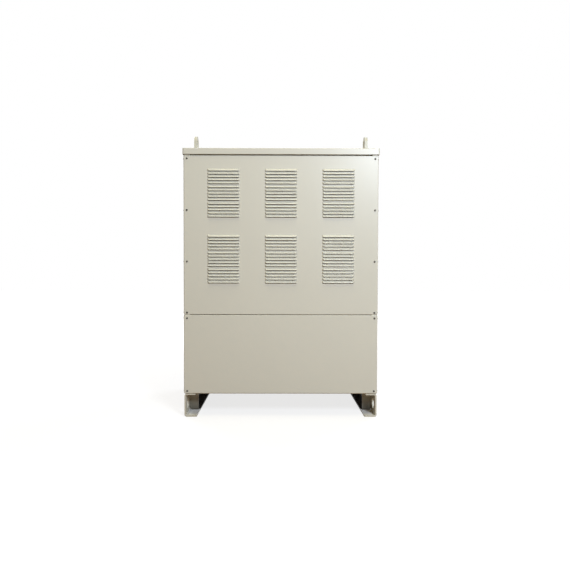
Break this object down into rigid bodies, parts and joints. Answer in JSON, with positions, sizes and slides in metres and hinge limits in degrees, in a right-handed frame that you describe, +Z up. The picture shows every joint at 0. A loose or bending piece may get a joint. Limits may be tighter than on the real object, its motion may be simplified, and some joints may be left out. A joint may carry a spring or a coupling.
{
  "type": "voltage stabilizer",
  "caption": "Floor-standing voltage stabilizer: a folded sheet metal cabinet on channel skids, with louvred upper panels, plain lower panels, a folded cover, lifting lugs and its transformer inside.",
  "frame": {"origin": "on the floor, at the middle of the footprint", "axes": "+Z up, the front faces -Y, +X is the right side seen from the front"},
  "size_m": [0.844, 0.614, 1.234],
  "materials": {
    "panel_powder_coat": "satin powder coat",
    "cover_powder_coat": "satin powder coat",
    "frame_paint": "satin paint",
    "skid_paint": "satin paint",
    "gusset_paint": "satin paint",
    "lug_paint": "satin paint",
    "floor_steel": "satin paint",
    "core_laminations": "dark varnish over the edges of stacked electrical steel",
    "varnished_coil": "woven glass tape soaked in dark varnish",
    "clamp_steel": "dark primer",
    "ring_winding": "enamelled copper wire under clear varnish",
    "zinc_screw": "dull zinc plate"
  },
  "bodies": {
    "root": {"left_skid": "skid_paint", "right_skid": "skid_paint", "front_left_gusset": "gusset_paint", "front_right_gusset": "gusset_paint", "rear_left_gusset": "gusset_paint", "rear_right_gusset": "gusset_paint", "front_base_rail": "frame_paint", "rear_base_rail": "frame_paint", "left_base_rail": "frame_paint", "right_base_rail": "frame_paint", "floor_plate": "floor_steel", "transformer_core": "core_laminations", "transformer_coils": "varnished_coil", "core_clamps": "clamp_steel", "regulator_deck": "clamp_steel", "regulator_windings": "ring_winding", "front_left_post": "frame_paint", "front_right_post": "frame_paint", "rear_left_post": "frame_paint", "rear_right_post": "frame_paint", "front_mid_rail": "frame_paint", "rear_mid_rail": "frame_paint", "left_mid_rail": "frame_paint", "right_mid_rail": "frame_paint", "front_top_rail": "frame_paint", "rear_top_rail": "frame_paint", "left_top_rail": "frame_paint", "right_top_rail": "frame_paint", "front_upper_panel": "panel_powder_coat", "rear_upper_panel": "panel_powder_coat", "left_upper_panel": "panel_powder_coat", "right_upper_panel": "panel_powder_coat", "front_lower_panel": "panel_powder_coat", "rear_lower_panel": "panel_powder_coat", "left_lower_panel": "panel_powder_coat", "right_lower_panel": "panel_powder_coat", "top_cover": "cover_powder_coat", "front_left_lug": "lug_paint", "front_right_lug": "lug_paint", "rear_left_lug": "lug_paint", "rear_right_lug": "lug_paint"}
  },
  "joints": []
}
